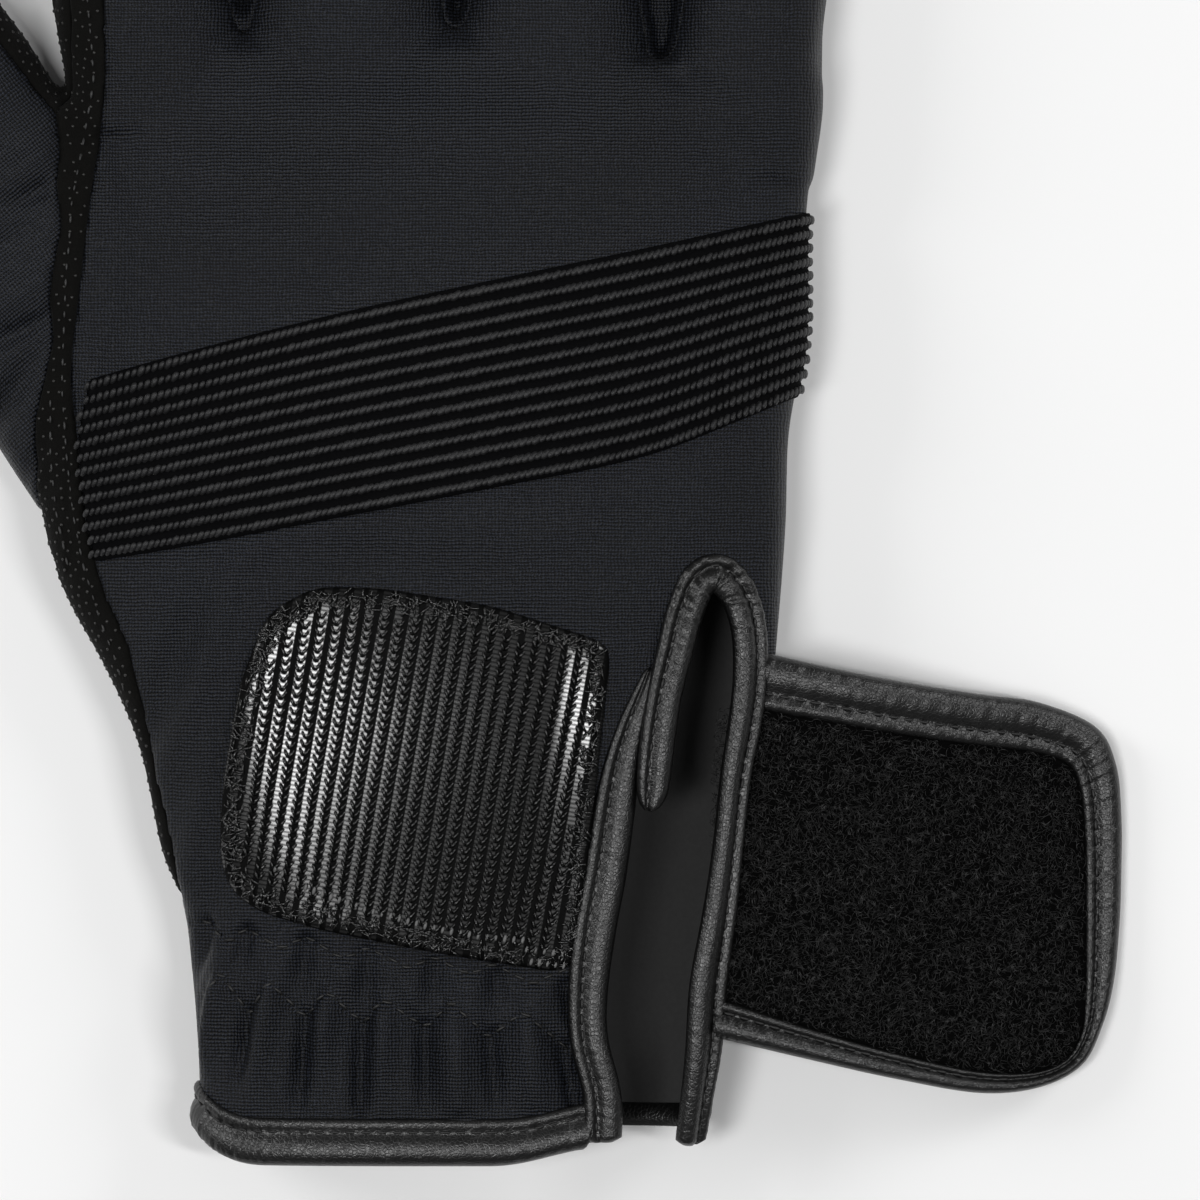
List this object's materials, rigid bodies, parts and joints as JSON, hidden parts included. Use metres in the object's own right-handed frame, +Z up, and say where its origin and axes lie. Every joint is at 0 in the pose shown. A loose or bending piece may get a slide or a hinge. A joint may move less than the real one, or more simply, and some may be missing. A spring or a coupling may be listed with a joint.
{
  "type": "horse riding glove",
  "caption": "Right-hand riding glove with knit back, suede palm, ribbed knuckle band and a leather-bound wrist slit closed by a hook and loop tab, shown open, lying palm down.",
  "frame": {"origin": "on the surface that the glove lies on, under the middle of its box", "axes": "+Z up out of the back of the hand, +Y from the hem to the fingertips, +X towards the little finger and the open tab"},
  "size_m": [0.184, 0.2278, 0.0233],
  "materials": {
    "knit": "matte fine warp knit",
    "suede": "matte synthetic suede with small grip dots",
    "elastic": "ribbed woven elastic",
    "hook_tape": "glossy hook tape",
    "leather": "smooth leather with a soft gloss",
    "loop_pile": "brushed loop pile"
  },
  "bodies": {
    "root": {"back_panel": "knit", "palm_panel": "suede", "side_strip": "suede", "fourchette_index_middle": "knit", "fourchette_middle_ring": "knit", "fourchette_ring_little": "knit", "thumb_back": "knit", "thumb_palm": "suede", "elastic_band": "elastic", "hook_patch": "hook_tape", "slit_binding": "leather", "placket_binding": "leather", "hem_binding": "leather", "tab": "leather", "tab_binding": "leather", "loop_pad": "loop_pile"}
  },
  "joints": []
}
